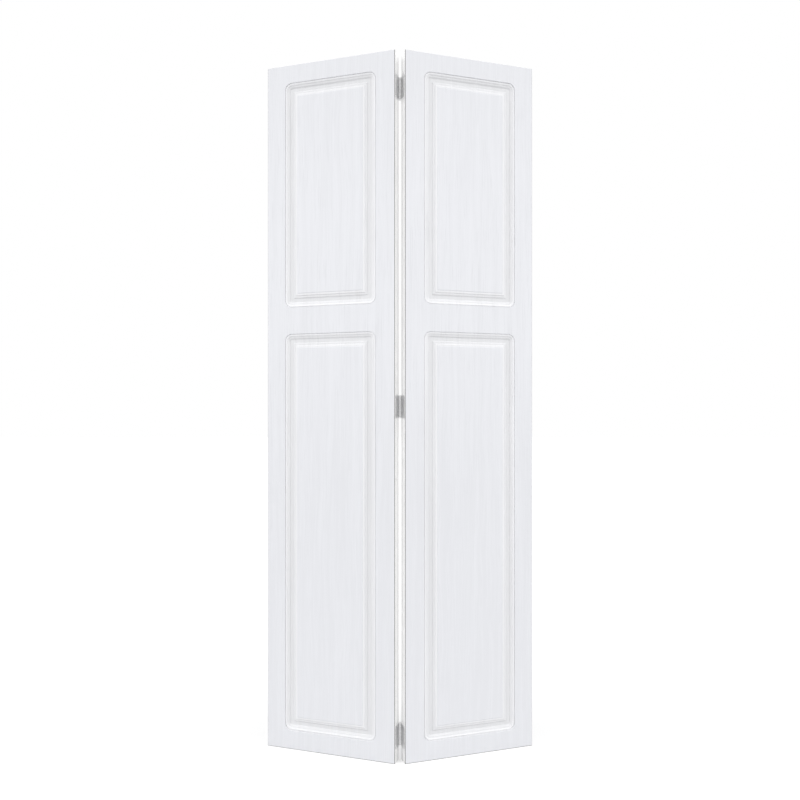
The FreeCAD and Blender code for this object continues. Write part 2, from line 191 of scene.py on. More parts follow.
class Shell:
    """Collects the points and faces of one closed mesh."""

    def __init__(self) -> None:
        """Starts empty."""
        self.points: list[Vector] = []
        self.faces: list[tuple[int, ...]] = []

    def add(self, point: Vector) -> int:
        """Adds a point and returns its number."""
        self.points.append(point)
        return len(self.points) - 1

    def ring(self, groups: list[list[Vector]]) -> Ring:
        """Adds a closed ring of points, kept in the groups that it is given in."""
        return [[self.add(point) for point in group] for group in groups]

    def loop(self, points: list[Vector]) -> Ring:
        """Adds a closed ring whose groups are single points."""
        return self.ring([[point] for point in points])

    def stitch(self, first: Ring, second: Ring) -> None:
        """Fills the band between two rings.

        Args:
            first: One ring.
            second: The other ring. Its groups match the first ring's, and where one
                has a single point the band closes in a fan.
        """
        for index, (near, far) in enumerate(zip(first, second)):
            for step in range(max(len(near), len(far)) - 1):
                if len(near) == 1:
                    self.faces.append((near[0], far[step + 1], far[step]))
                elif len(far) == 1:
                    self.faces.append((near[step], near[step + 1], far[0]))
                else:
                    self.faces.append((near[step], near[step + 1], far[step + 1], far[step]))
            after = (index + 1) % len(first)
            self.faces.append((near[-1], first[after][0], second[after][0], far[-1]))

    def cap(self, ring: Ring) -> None:
        """Closes a ring with one flat face."""
        self.faces.append(tuple(number for group in ring for number in group))

    def loft(self, rings: list[Ring]) -> None:
        """Joins rings in order and closes the first and the last.

        Args:
            rings: The rings.
        """
        for near, far in zip(rings, rings[1:]):
            self.stitch(near, far)
        self.cap(rings[0])
        self.cap(rings[-1])

    def mesh(self, name: str) -> Mesh:
        """Makes the mesh, with its faces turned outward.

        Args:
            name: The mesh's name.

        Returns:
            The new mesh.
        """
        mesh = bpy.data.meshes.new(name)
        mesh.from_pydata(self.points, [], self.faces)
        work = bmesh.new()
        work.from_mesh(mesh)
        bmesh.ops.recalc_face_normals(work, faces=work.faces)
        work.to_mesh(mesh)
        work.free()
        return mesh


def turned(profile: list[Point], segments: int, name: str) -> Mesh:
    """A piece turned about the z axis.

    Args:
        profile: Radius and level of each of its rings, from one end to the other.
        segments: Sides of each ring.
        name: The mesh's name.

    Returns:
        The turned mesh, closed at both ends.
    """
    shell = Shell()
    turns = full_circle(segments)
    shell.loft([shell.loop([around(turn, *place) for turn in turns]) for place in profile])
    return shell.mesh(name)


class Bench:
    """Turns meshes into finished pieces of the door."""

    @staticmethod
    def put(name: str, data: bpy.types.ID) -> bpy.types.Object:
        """Adds an object to the scene.

        Args:
            name: The object's name.
            data: Its mesh, lamp or camera.

        Returns:
            The new object.
        """
        item = bpy.data.objects.new(name, data)
        bpy.context.scene.collection.objects.link(item)
        return item

    @staticmethod
    def carved(base: Mesh, tools: list[tuple[str, Mesh]]) -> Mesh:
        """Joins or cuts a mesh with others.

        Args:
            base: The mesh to start from.
            tools: What is done, UNION or DIFFERENCE, and the mesh that does it.

        Returns:
            The resulting mesh. The given ones are removed.
        """
        work = Bench.put("work", base)
        helpers = []
        for operation, mesh in tools:
            helpers.append(Bench.put("tool", mesh))
            cut = work.modifiers.new("cut", "BOOLEAN")
            cut.operation = operation
            cut.object = helpers[-1]
            cut.solver = "EXACT"
        graph = bpy.context.evaluated_depsgraph_get()
        result = bpy.data.meshes.new_from_object(work.evaluated_get(graph))
        result.name = base.name
        for item in [work, *helpers]:
            data = item.data
            bpy.data.objects.remove(item)
            if data.users == 0:
                bpy.data.meshes.remove(data)
        return result

    @staticmethod
    def piece(
        name: str,
        mesh: Mesh,
        place: Matrix,
        side: Side,
        finishes: list[Material],
        slot: str,
        nodes: list[str],
        pattern_shift: float = 0.0,
    ) -> None:
        """Puts a mesh in its place as a piece of the door.

        Args:
            name: The piece's name.
            mesh: Its mesh.
            place: Its frame.
            side: The leaf that it moves with.
            finishes: Its materials, in the order of the mesh's material numbers.
            slot: The record's slot that its finish belongs to; not used.
            nodes: The nodes that it stands for.
            pattern_shift: How far its patterns are moved along x, in metres.
        """
        along = Vector((pattern_shift, 0, 0))
        spots = [part for vertex in mesh.vertices for part in vertex.co + along]
        mesh.attributes.new(OWN_SPOT, "FLOAT_VECTOR", "POINT").data.foreach_set("vector", spots)
        mesh.transform(place.to_3x3().to_4x4())
        item = Bench.put(name, mesh)
        item.location = place.translation
        for finish in finishes:
            mesh.materials.append(finish)
        mesh.shade_smooth()
        mesh.set_sharp_from_angle(angle=EDGE_TURN)
        normals = item.modifiers.new("level_faces", "WEIGHTED_NORMAL")
        normals.keep_sharp = True
        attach(item, side.body)
        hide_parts(*nodes)
        LOG.info("%s: %d faces, stands for %s", name, len(mesh.polygons), ", ".join(nodes))


@dataclass(frozen=True)
class Grain:
    """A noise: its steps along x, y and z in metres, its octaves and its place."""

    pitch: Triple
    octaves: float = 2.0
    roughness: float = 0.5
    shift: float = 0.0


@dataclass(frozen=True)
class Spread:
    """Takes the values from low to high to results from start to end."""

    low: float = 0.0
    high: float = 1.0
    start: float = 0.0
    end: float = 1.0


class NodeWeb:
    """Adds and joins the nodes of one shader tree."""

    def __init__(self, tree: bpy.types.NodeTree) -> None:
        """Starts with an empty tree."""
        self.tree = tree
        self.tree.nodes.clear()

    def fill(self, socket: Socket, value: object) -> None:
        """Links an input to another socket, or sets it to a value.

        Args:
            socket: The input.
            value: The other socket or the value.
        """
        if isinstance(value, Socket):
            self.tree.links.new(value, socket)
        else:
            socket.default_value = value

    def feed(self, node: bpy.types.Node, **inputs: object) -> None:
        """Fills a node's inputs by their names, with spaces as underscores."""
        for name, value in inputs.items():
            self.fill(node.inputs[name.replace("_", " ")], value)

    def add(self, kind: str, *given: object, **inputs: object) -> bpy.types.Node:
        """Adds a node and fills its inputs.

        Args:
            kind: The node's kind, without its prefix.
            given: Sockets or values of its first inputs, in order.
            inputs: Sockets or values of its inputs by name.

        Returns:
            The new node.
        """
        node = self.tree.nodes.new(f"ShaderNode{kind}")
        for socket, value in zip(node.inputs, given):
            self.fill(socket, value)
        self.feed(node, **inputs)
        return node

    def reckon(self, operation: str, *values: object) -> Socket:
        """Takes values through one operation, from the first to the last.

        Args:
            operation: The operation, such as ADD.
            values: Sockets or numbers.

        Returns:
            The result's socket.
        """
        result, *others = values
        for value in others:
            node = self.add("Math", result, value)
            node.operation = operation
            result = node.outputs["Value"]
        return result

    def sum(self, *values: object) -> Socket:
        """The sum of some values."""
        return self.reckon("ADD", *values)

    def seen(self) -> Socket:
        """Tells rays that come from the camera, a gloss or a clear material from others.

        Returns:
            The socket that gives 1 for such a ray and 0 for another.
        """
        path = self.add("LightPath").outputs
        rays = (path[f"Is {ray} Ray"] for ray in ("Camera", "Glossy", "Transmission"))
        return self.reckon("MAXIMUM", *rays)


class FinishWeb(NodeWeb):
    """The nodes of one material, whose patterns follow the piece's own coordinates."""

    def __init__(self, name: str, carried: bool = False) -> None:
        """Starts a material with its output and main shader.

        Args:
            name: The material's name.
            carried: Whether it is for a node of the frame, which has no own spots.
        """
        self.material = bpy.data.materials.new(name)
        self.material.use_nodes = True
        super().__init__(self.material.node_tree)
        self.shader = self.add("BsdfPrincipled")
        self.add("OutputMaterial", Surface=self.shader.outputs["BSDF"])
        if carried:
            self.spot = self.add("TexCoord").outputs["Object"]
        else:
            reader = self.add("Attribute")
            reader.attribute_name = OWN_SPOT
            self.spot = reader.outputs["Vector"]

    def stretched(self, pitch: Triple, shift: float = 0.0) -> Socket:
        """The coordinates, counted in steps of the given lengths.

        Args:
            pitch: Length of one step along x, y and z, in metres.
            shift: Steps by which the pattern is moved, so that two patterns differ.

        Returns:
            The vector socket.
        """
        scale = tuple(1 / length for length in pitch)
        steps = self.add("Mapping", Vector=self.spot, Location=(shift,) * 3, Scale=scale)
        return steps.outputs["Vector"]

    def moved(self, vector: Socket, push: Socket) -> Socket:
        """A vector moved by another.

        Args:
            vector: The vector.
            push: The move.

        Returns:
            The vector socket.
        """
        node = self.add("VectorMath", vector, push)
        node.operation = "ADD"
        return node.outputs["Vector"]

    def waver(self, grain: Grain, over: Spread) -> None:
        """Bends the coordinates sideways, for the patterns made after it.

        Args:
            grain: The slow noise that they are bent by.
            over: How far a spot is moved for the noise there, in metres.
        """
        push = self.add("CombineXYZ", X=self.spread(self.noise(grain), over))
        self.spot = self.moved(self.spot, push.outputs["Vector"])

    def noise(self, grain: Grain) -> Socket:
        """A noise over the coordinates, from 0 to 1.

        Args:
            grain: What the noise is like.

        Returns:
            The factor socket.
        """
        place = self.stretched(grain.pitch, grain.shift)
        node = self.add("TexNoise", Vector=place, Scale=1.0)
        self.feed(node, Detail=grain.octaves, Roughness=grain.roughness)
        return node.outputs["Fac"]

    def spread(self, value: Socket, over: Spread) -> Socket:
        """Takes a value through a spread, and holds it at the spread's ends.

        Args:
            value: The value.
            over: The spread.

        Returns:
            The result's socket.
        """
        node = self.add("MapRange", value, over.low, over.high, over.start, over.end)
        return node.outputs["Result"]

    def blended(self, share: Socket, first: object, second: object) -> Socket:
        """A colour between two.

        Args:
            share: How much of the second colour shows, from 0 to 1.
            first: A colour or the socket that gives it.
            second: A colour or the socket that gives it.

        Returns:
            The colour socket.
        """
        node = self.add("Mix")
        node.data_type = "RGBA"
        self.feed(node, Factor=share)
        ends = [socket for socket in node.inputs if socket.type == "RGBA"]
        for socket, colour in zip(ends, (first, second)):
            self.fill(socket, (*colour, 1.0) if isinstance(colour, tuple) else colour)
        return next(socket for socket in node.outputs if socket.type == "RGBA")

    def finished(self, colour: Socket, roughness: object, height: Socket, relief: float) -> Material:
        """Gives the main shader its colour, its roughness and a fine relief.

        Args:
            colour: The colour's socket.
            roughness: The roughness or its socket.
            height: Height of the surface, from 0 to 1.
            relief: What a height of 1 stands for, in metres.

        Returns:
            The material.
        """
        bump = self.add("Bump", Distance=relief, Strength=1.0, Height=height)
        self.feed(self.shader, Base_Color=colour, Roughness=roughness, Normal=bump.outputs["Normal"])
        return self.material


def shaded(colour: Triple, share: float) -> Triple:
    """A colour with each of its parts times a share."""
    return (colour[0] * share, colour[1] * share, colour[2] * share)


@dataclass(frozen=True)
class GrainedFoil:
    """White satin foil, pressed with a fine upright wood grain, and with painted shade by depth below
    its face and towards its top and foot.
    """

    name: str
    face: Triple
    # Colour blended in with depth below the face: where darker than face, painted shade in the
    # moulding's hollows.
    sunk: Triple
    sunk_depth: Spread = Spread(0.0022, 0.005)
    streak_share: float = 0.938
    gloss: float = 0.25
    roughness: Spread = Spread(start=0.5, end=0.62)
    slow_bend: Grain = Grain((0.12, 0.3, 0.28), octaves=1.0, shift=17.0)
    bend_reach: Spread = Spread(0.25, 0.75, -0.006, 0.006)
    figure: Grain = Grain((0.035, 0.2, 0.16), octaves=3.0)
    streaks: Grain = Grain((0.0048, 0.02, 0.2), octaves=3.0, roughness=0.6)
    bands: Grain = Grain((0.016, 0.05, 0.5), shift=11.0)
    ticks: Grain = Grain((0.0030, 0.01, 0.09), shift=5.0)
    pores: Grain = Grain((0.0011, 0.004, 0.035), shift=7.0)
    pore_share: Spread = Spread(0.52, 0.68)
    ticks_shown: Spread = Spread(0.44, 0.6, 0.12, 1.0)
    streak_tone: Spread = Spread(0.35, 0.68, 0.0, 0.65)
    band_tone: Spread = Spread(0.3, 0.7, -0.5, 0.4)
    tick_tone: Spread = Spread(0.53, 0.64, 0.0, 1.3)
    pore_tone: Spread = Spread(end=0.3)
    # Painted shade by height: the foil is darker towards its foot and its top.
    low_painted_shade: Spread = Spread(1.2, 0.75, 0.0, 0.78)
    high_painted_shade: Spread = Spread(1.55, 2.0, 0.0, 0.7)
    whole_tone: Spread = Spread(high=1.4)
    pore_height: Spread = Spread(start=0.5, end=0.0)
    streak_height: Spread = Spread(0.2, 0.8, 0.0, 0.5)
    relief: float = 0.00006

    def material(self) -> Material:
        """Builds the foil's material.

        Returns:
            The material.
        """
        web = FinishWeb(self.name)
        place = web.add("SeparateXYZ", Vector=web.spot).outputs
        shown = web.spread(web.noise(self.figure), self.ticks_shown)
        web.waver(self.slow_bend, self.bend_reach)
        streaks = web.noise(self.streaks)
        ticks = web.spread(web.noise(self.ticks), self.tick_tone)
        pores = web.spread(web.noise(self.pores), self.pore_share)
        tone = web.sum(
            web.spread(streaks, self.streak_tone),
            web.spread(web.noise(self.bands), self.band_tone),
            web.reckon("MULTIPLY", ticks, shown),
            web.spread(pores, self.pore_tone),
            # Painted shade towards the foot and the top.
            web.spread(place["Z"], self.low_painted_shade),
            web.spread(place["Z"], self.high_painted_shade),
        )
        # Painted shade: the colour turns from face towards sunk with depth below the face.
        depth = web.spread(place["Y"], self.sunk_depth)
        ground = web.blended(depth, self.face, self.sunk)
        streaked = (shaded(colour, self.streak_share) for colour in (self.face, self.sunk))
        streak = web.blended(depth, *streaked)
        colour = web.blended(web.spread(tone, self.whole_tone), ground, streak)
        height = web.sum(web.spread(pores, self.pore_height), web.spread(streaks, self.streak_height))
        web.feed(web.shader, Specular_IOR_Level=self.gloss)
        return web.finished(colour, web.spread(pores, self.roughness), height, self.relief)


@dataclass(frozen=True)
class EdgePaint:
    """White paint on a timber's long edge, with brushed-out upright ripples."""

    name: str
    face: Triple
    hollow: Triple
    roughness: float = 0.2
    ripples: Grain = Grain((0.002, 0.002, 0.12), octaves=3.0)
    ripple_tone: Spread = Spread(0.3, 0.7)
    relief: float = 0.00005

    def material(self) -> Material:
        """Builds the paint's material.

        Returns:
            The material.
        """
        web = FinishWeb(self.name)
        ripples = web.noise(self.ripples)
        colour = web.blended(web.spread(ripples, self.ripple_tone), self.face, self.hollow)
        return web.finished(colour, self.roughness, ripples, self.relief)


@dataclass(frozen=True)
class BoardEdgeAndArrisShade:
    """The sawn edge of a fibreboard skin, flecked with fibres, in a dark grey that also draws painted
    shade lines along the rounded arrises.
    """

    name: str = "fibreboard_edge_and_arris_shade"
    pale: Triple = (0.16, 0.15, 0.14)
    dark: Triple = (0.085, 0.08, 0.075)
    roughness: float = 0.8
    flecks: Grain = Grain((0.0008, 0.0004, 0.0008), octaves=4.0, roughness=0.7)
    fleck_tone: Spread = Spread(0.3, 0.7, 0.0, 0.7)
    layers: Grain = Grain((0.05, 0.0005, 0.05), shift=2.0)
    layer_tone: Spread = Spread(0.3, 0.7, 0.0, 0.3)
    relief: float = 0.00008

    def material(self) -> Material:
        """Builds the edge's material.

        Returns:
            The material.
        """
        web = FinishWeb(self.name)
        flecks = web.noise(self.flecks)
        layers = web.spread(web.noise(self.layers), self.layer_tone)
        tone = web.sum(web.spread(flecks, self.fleck_tone), layers)
        return web.finished(
            web.blended(tone, self.pale, self.dark), self.roughness, flecks, self.relief
        )


@dataclass(frozen=True)
class BareTimber:
    """Planed softwood, with growth rings and fine fibres along its length."""

    name: str = "planed_softwood"
    early: Triple = (0.61, 0.49, 0.34)
    late: Triple = (0.47, 0.345, 0.215)
    roughness: float = 0.62
    heart: Triple = (0.11, -0.16, 0.0)
    ring_pitch: float = 0.0032
    ring_tone: Spread = Spread(0.45, 0.95, 0.0, 0.75)
    ring_height: Spread = Spread(end=0.6)
    slow_bend: Grain = Grain((0.05, 0.05, 0.7))
    bend_reach: Spread = Spread(start=-0.6, end=0.6)
    fibres: Grain = Grain((0.0006, 0.0006, 0.03), octaves=3.0)
    fibre_tone: Spread = Spread(0.3, 0.7, 0.0, 0.35)
    relief: float = 0.00008

    def material(self, run: Run) -> Material:
        """Builds the timber's material.

        Args:
            run: The way that the grain runs in the leaf's frame.

        Returns:
            The material.
        """
        web = FinishWeb(f"{self.name}_{run.name.lower()}")
        along = web.add("Mapping", Vector=web.spot, Rotation=(0.0, run.value, 0.0))
        web.spot = along.outputs["Vector"]
        scale = WAVE_STEP / self.ring_pitch
        centre = tuple(spot * scale for spot in self.heart)
        across = web.add("Mapping", Vector=web.spot, Location=centre, Scale=(scale, scale, 0.0))
        bend = web.spread(web.noise(self.slow_bend), self.bend_reach)
        bent = web.moved(across.outputs["Vector"], bend)
        wave = web.add("TexWave", Vector=bent, Scale=1.0, Distortion=0.0, Detail=0.0)
        wave.wave_type = "RINGS"
        wave.rings_direction = "Z"
        rings, fibres = wave.outputs["Fac"], web.noise(self.fibres)
        dark = web.sum(web.spread(rings, self.ring_tone), web.spread(fibres, self.fibre_tone))
        height = web.sum(fibres, web.spread(rings, self.ring_height))
        return web.finished(
            web.blended(dark, self.early, self.late), self.roughness, height, self.relief
        )


@dataclass(frozen=True)
class CoreCard:
    """Brown corrugated card with the faint lines of its flutes."""

    name: str = "brown_card"
    plain: Triple = (0.42, 0.27, 0.145)
    flute: Triple = (0.33, 0.205, 0.105)
    roughness: float = 0.85
    flute_pitch: Triple = (1.0, 1.0, 0.0035)
    flute_waver: float = 0.2
    flute_octaves: float = 1.0
    flute_tone: Spread = Spread(end=0.5)
    flecks: Grain = Grain((0.0012, 0.0012, 0.0012), octaves=4.0, roughness=0.7)
    fleck_tone: Spread = Spread(0.35, 0.65, 0.0, 0.5)
    relief: float = 0.0002

    def material(self) -> Material:
        """Builds the card's material.

        Returns:
            The material.
        """
        web = FinishWeb(self.name, carried=True)
        wave = web.add("TexWave", Vector=web.stretched(self.flute_pitch), Scale=WAVE_STEP)
        wave.bands_direction = "Z"
        web.feed(wave, Distortion=self.flute_waver, Detail=self.flute_octaves)
        flutes, flecks = wave.outputs["Fac"], web.noise(self.flecks)
        tone = web.sum(web.spread(flutes, self.flute_tone), web.spread(flecks, self.fleck_tone))
        colour = web.blended(tone, self.plain, self.flute)
        return web.finished(colour, self.roughness, web.sum(flutes, flecks), self.relief)


@dataclass(frozen=True)
class PlatedSteel:
    """Zinc-plated steel with a mottled bloom and fine scuffs."""

    name: str
    bright: Triple
    dull: Triple
    roughness: float
    dull_roughness: float = 0.14
    bloom: Grain = Grain((0.006, 0.006, 0.006), octaves=5.0, roughness=0.65)
    bloom_share: Spread = Spread(0.38, 0.62)
    scuffs: Grain = Grain((0.0005, 0.0005, 0.008), shift=3.0)
    scuff_roughness: Spread = Spread(0.3, 0.7, -0.05, 0.08)
    relief: float = 0.00002

    def material(self) -> Material:
        """Builds the metal's material.

        Returns:
            The material.
        """
        web = FinishWeb(self.name)
        bloom, scuffs = web.noise(self.bloom), web.noise(self.scuffs)
        patches = web.spread(bloom, self.bloom_share)
        bloomed = Spread(start=self.roughness, end=self.roughness + self.dull_roughness)
        rough = web.sum(web.spread(patches, bloomed), web.spread(scuffs, self.scuff_roughness))
        web.feed(web.shader, Metallic=1.0)
        colour = web.blended(patches, self.bright, self.dull)
        return web.finished(colour, rough, web.sum(scuffs, bloom), self.relief)


@dataclass
class Finishes:
    """The door's finishes, and the materials of its pieces, each made once."""

    flat_foil: GrainedFoil = GrainedFoil(
        "white_grained_foil", face=(0.80, 0.808, 0.84), sunk=(0.80, 0.808, 0.84)
    )
    # The moulding's foil: its face colour is lighter than the flat foil's, a painted highlight on the
    # bead crowns, and its sunk colour darker, painted shade in the channel.
    moulded_foil_painted_light: GrainedFoil = GrainedFoil(
        "moulded_foil_painted_light", face=(0.86, 0.863, 0.883), sunk=(0.78, 0.784, 0.802)
    )
    board: BoardEdgeAndArrisShade = BoardEdgeAndArrisShade()
    timber: BareTimber = BareTimber()
    card: CoreCard = CoreCard()
    # One edge paint in two copies: the inner one, on the groove's walls between the leaves, is lighter
    # than the outer one, painted light that lifts the groove's shade.
    inner_paint: EdgePaint = EdgePaint(
        "inner_edge_paint", face=(0.97, 0.97, 0.97), hollow=(0.94, 0.94, 0.94)
    )
    outer_paint: EdgePaint = EdgePaint(
        "outer_edge_paint", face=(0.82, 0.825, 0.84), hollow=(0.78, 0.785, 0.80)
    )
    hinge_plating: PlatedSteel = PlatedSteel(
        "hinge_plating", bright=(0.86, 0.86, 0.865), dull=(0.71, 0.71, 0.715), roughness=0.40
    )
    # The knuckles' plating, lighter than the plates': a painted highlight down the middle of each
    # hinge.
    knuckle_highlight_plating: PlatedSteel = PlatedSteel(
        "knuckle_highlight_plating", bright=(0.98, 0.98, 0.98), dull=(0.93, 0.93, 0.93), roughness=0.14
    )
    pin_plating: PlatedSteel = PlatedSteel(
        "pin_plating", bright=(0.86, 0.86, 0.86), dull=(0.74, 0.74, 0.745), roughness=0.28
    )
    screw_plating: PlatedSteel = PlatedSteel(
        "screw_plating", bright=(0.84, 0.84, 0.83), dull=(0.66, 0.66, 0.65), roughness=0.30
    )

    def __post_init__(self) -> None:
        """Makes the materials."""
        upright, cross = (self.timber.material(run) for run in Run)
        lightened_inner_edge, outer_edge = self.inner_paint.material(), self.outer_paint.material()
        foils = [self.flat_foil.material(), self.moulded_foil_painted_light.material()]
        # The back skin's edge beside the hinges and the hinge stile's edge take the lighter inner
        # paint: painted light in the groove.
        self.skin = [*foils, self.board.material(), lightened_inner_edge]
        self.hinge_stile = [upright, lightened_inner_edge]
        self.outer_stile = [upright, outer_edge]
        self.rail = [cross]
        self.core = self.card.material()
        self.plate = [self.hinge_plating.material(), self.knuckle_highlight_plating.material()]
        self.pin = [self.pin_plating.material()]
        self.screw = [self.screw_plating.material()]


@dataclass(frozen=True)
class Moulding:
    """The sunk moulding round a panel, with a slope on each side of its channel.

    Run is counted from the moulding's edge and depth down from the face. The slope
    on the outer side starts with a sharp cut, and that on the field's side softly.
    """

    quirk: Point = (0.0028, 0.0012)
    first_bead: Point = (0.0046, 0.0012)
    field_quirk: Point = (0.0024, 0.0012)
    field_bead: Point = (0.005, 0.0012)
    fillet: Point = (0.0014, 0.0012)
    second_bead: Point = (0.0072, 0.0031)
    channel: float = 0.010
    rim_incision: Point = (0.0004, 0.002)
    field_incision: Point = (0.0009, -0.0003)
    inner_incision: Point = (0.0003, 0.0001)
    bead_steps: int = 6
    softening: float = 0.00025
    softening_steps: int = 3
    softening_share: float = 0.45
    softened_turn: float = math.radians(15)
    back_spread: float = 0.0015
    back_slope: float = 0.016
    wall: float = 0.0032

    @property
    def steps(self) -> tuple[Point, ...]:
        """Run and drop of each step of the outer slope."""
        return (self.quirk, self.first_bead, self.fillet, self.second_bead)

    @property
    def half(self) -> float:
        """Half of the moulding's width, which is also its outer corners' radius."""
        return sum(run for run, _ in self.steps) + self.channel / 2

    @property
    def depth(self) -> float:
        """Depth of the channel."""
        return sum(drop for _, drop in self.steps)

    def bead(self, start: Point, size: Point) -> list[Point]:
        """Points of a rounded bead, which leaves its start level.

        Args:
            start: Run and depth where the bead starts.
            size: Its run and drop.

        Returns:
            The points after the start, up to the end.
        """
        sweep = 2 * math.atan2(size[1], size[0])
        radius = size[0] / math.sin(sweep)
        turns = [sweep * (step + 1) / self.bead_steps for step in range(self.bead_steps)]
        return [
            (start[0] + radius * math.sin(turn), start[1] + radius * (1 - math.cos(turn)))
            for turn in turns
        ]

    def slope(self, quirk: Point, first_bead: Point, incision: Point) -> list[Point]:
        """Points of one side's section.

        Args:
            quirk: Run and drop of the cut at the moulding's edge.
            first_bead: Run and drop of the bead next to it.
            incision: Run and further drop of the cut's lowest point.

        Returns:
            The points, from the edge to the channel.
        """
        points: list[Point] = [(0.0, 0.0)]
        for cut, bead, dip in (
            (quirk, first_bead, incision),
            (self.fillet, self.second_bead, self.inner_incision),
        ):
            start = points[-1]
            foot = (start[0] + cut[0], start[1] + cut[1])
            points += [(start[0] + dip[0], foot[1] + dip[1]), foot, *self.bead(foot, bead)]
        return points

    def softened(self, points: list[Point]) -> list[Point]:
        """Rounds the sharp corners of a section.

        Args:
            points: The section's points in order.

        Returns:
            The section, with a small curve in place of each sharp corner.
        """
        smooth = [points[0]]
        for before, corner, after in zip(points, points[1:], points[2:]):
            here = Vector(corner)
            back, ahead = Vector(before) - here, Vector(after) - here
            if math.pi - back.angle(ahead) < self.softened_turn:
                smooth.append(corner)
                continue
            start, end = (
                here + way.normalized() * min(self.softening, way.length * self.softening_share)
                for way in (back, ahead)
            )
            for step in range(self.softening_steps + 1):
                share = step / self.softening_steps
                spot = start.lerp(here, share).lerp(here.lerp(end, share), share)
                smooth.append((spot.x, spot.y))
        smooth.append(points[-1])
        return smooth

    def profile(self) -> list[Point]:
        """The whole section, from the moulding's outer edge to its inner one.

        Returns:
            The section's points.
        """
        outer = self.slope(self.quirk, self.first_bead, self.rim_incision)
        inner = self.slope(self.field_quirk, self.field_bead, self.field_incision)
        width, rim = 2 * self.half, 2 * self.softening
        back = [(width - run, depth) for run, depth in reversed(inner)]
        return self.softened([(-rim, 0.0), *outer, *back, (width + rim, 0.0)])[1:-1]

    def backing(self) -> list[Point]:
        """The section of the wall behind the moulding.

        Returns:
            The section's corners.
        """
        near, far = -self.back_spread, 2 * self.half + self.back_spread
        low = self.depth + self.wall
        flat = [(near + self.back_slope, low), (far - self.back_slope, low)]
        return [(near, self.wall), *flat, (far, self.wall)]


@dataclass(frozen=True)
class Panel:
    """One sunk panel of a skin, by the levels of its moulding's outer edge."""

    low: float
    high: float


